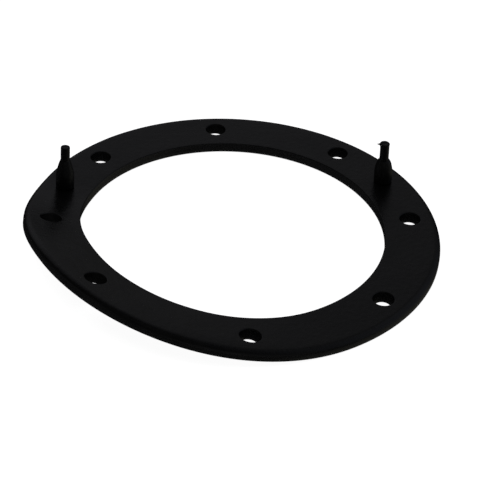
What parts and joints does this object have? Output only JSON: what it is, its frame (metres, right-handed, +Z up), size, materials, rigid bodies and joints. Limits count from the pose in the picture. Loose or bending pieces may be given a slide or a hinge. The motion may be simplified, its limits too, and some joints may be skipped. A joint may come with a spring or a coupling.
{
  "type": "toilet flange",
  "caption": "Flat black rubber toilet flange ring with round bolt holes and upright push-in locating pins; one side of the soft ring is curled up.",
  "frame": {"origin": "centre of the ring at its flat underside, on the surface it lies on", "axes": "+Z up, square to the flat part of the ring and out of the face that the pins stand on; the pins are at the back, +Y, on either side of the YZ plane"},
  "size_m": [0.1779, 0.178, 0.0246],
  "materials": {
    "ring_rubber": "satin black moulded rubber",
    "pin_rubber": "matt black moulded rubber"
  },
  "bodies": {
    "ring": {"flange_ring": "ring_rubber"},
    "pin_left": {"locating_pin_left": "pin_rubber"},
    "pin_right": {"locating_pin_right": "pin_rubber"}
  },
  "joints": [
    {"name": "pin_left_turn", "type": "hinge", "parent": "ring", "child": "pin_left", "pos_m": [-0.07116, 0.03094, 0.00018], "axis": [0.0279, 0.0515, 0.9983], "continuous": true},
    {"name": "pin_right_turn", "type": "hinge", "parent": "ring", "child": "pin_right", "pos_m": [0.07004, 0.03341, 0], "axis": [0, 0, 1], "continuous": true}
  ]
}
